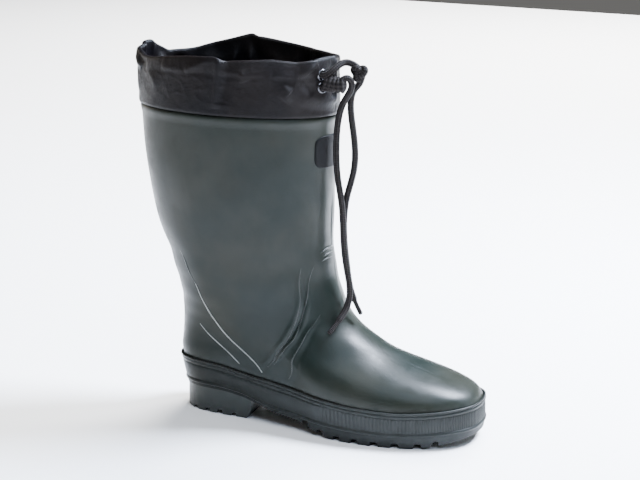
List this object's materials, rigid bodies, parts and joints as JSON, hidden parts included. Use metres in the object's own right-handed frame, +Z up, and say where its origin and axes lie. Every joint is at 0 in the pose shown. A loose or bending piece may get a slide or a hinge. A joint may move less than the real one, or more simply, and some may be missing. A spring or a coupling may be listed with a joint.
{
  "type": "rubber boot",
  "caption": "Knee-high green rubber work boot for the right foot, with a gathered black fabric cuff, a drawcord and a lugged sole.",
  "frame": {"origin": "on the ground, under the middle of the boot's footprint box", "axes": "+X from heel to toe, +Y to the inner side of the foot, +Z up"},
  "size_m": [0.3496, 0.13, 0.3548],
  "materials": {
    "green_rubber": "satin",
    "band_rubber": "matte",
    "sole_rubber": "matte",
    "heel_rubber": "matte",
    "felt": "matte",
    "nylon": "satin",
    "plate_rubber": "satin",
    "eyelet_upper_steel": "satin",
    "eyelet_lower_steel": "satin",
    "cord_loop_right_polyester": "matte",
    "cord_loop_left_polyester": "matte",
    "cord_strand_left_polyester": "matte",
    "cord_tip_left_polyester": "matte",
    "cord_strand_right_polyester": "matte",
    "cord_tip_right_polyester": "matte"
  },
  "bodies": {
    "root": {"upper": "green_rubber", "foxing_band": "band_rubber", "outsole": "sole_rubber", "heel": "heel_rubber", "insole": "felt", "cuff": "nylon", "badge_plate": "plate_rubber", "eyelet_upper": "eyelet_upper_steel", "eyelet_lower": "eyelet_lower_steel", "cord_loop_right": "cord_loop_right_polyester", "cord_loop_left": "cord_loop_left_polyester", "cord_strand_left": "cord_strand_left_polyester", "cord_tip_left": "cord_tip_left_polyester", "cord_strand_right": "cord_strand_right_polyester", "cord_tip_right": "cord_tip_right_polyester"}
  },
  "joints": []
}
